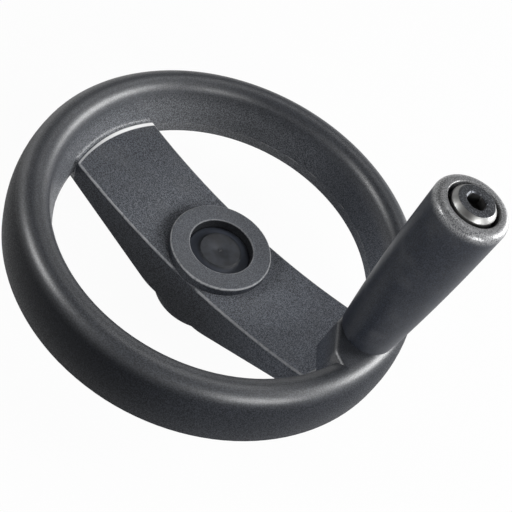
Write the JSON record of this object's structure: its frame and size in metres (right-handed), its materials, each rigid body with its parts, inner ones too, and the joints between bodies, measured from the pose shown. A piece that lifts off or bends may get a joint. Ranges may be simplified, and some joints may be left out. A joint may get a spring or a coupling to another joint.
{
  "type": "machine handwheel",
  "caption": "Two-spoke plastic machine handwheel with a flat dished bar, steel hub bush, capped hub and an upright revolving grip.",
  "frame": {"origin": "centre of the hub's rear face, on the wheel's axis", "axes": "+Z along the wheel's axis to the side of the grip, +X along the spoke bar to the grip"},
  "size_m": [0.16, 0.16, 0.125],
  "materials": {
    "wheel_plastic": "black glass-filled polyamide with a fine moulded grain",
    "bush_steel": "reamed and turned steel",
    "cap_plastic": "black, smoother than the wheel",
    "insert_brass": "turned brass",
    "spindle_steel": "blackened turned steel, bright on its worn edges",
    "grip_plastic": "satin black"
  },
  "bodies": {
    "wheel_body": {"wheel": "wheel_plastic", "hub_bush": "bush_steel", "hub_cap": "cap_plastic", "threaded_insert": "insert_brass", "spindle": "spindle_steel"},
    "grip_body": {"grip": "grip_plastic"}
  },
  "joints": [
    {"name": "grip_spin", "type": "hinge", "parent": "wheel_body", "child": "grip_body", "pos_m": [0.0643, 0, 0.088], "axis": [0, 0, 1], "continuous": true}
  ]
}
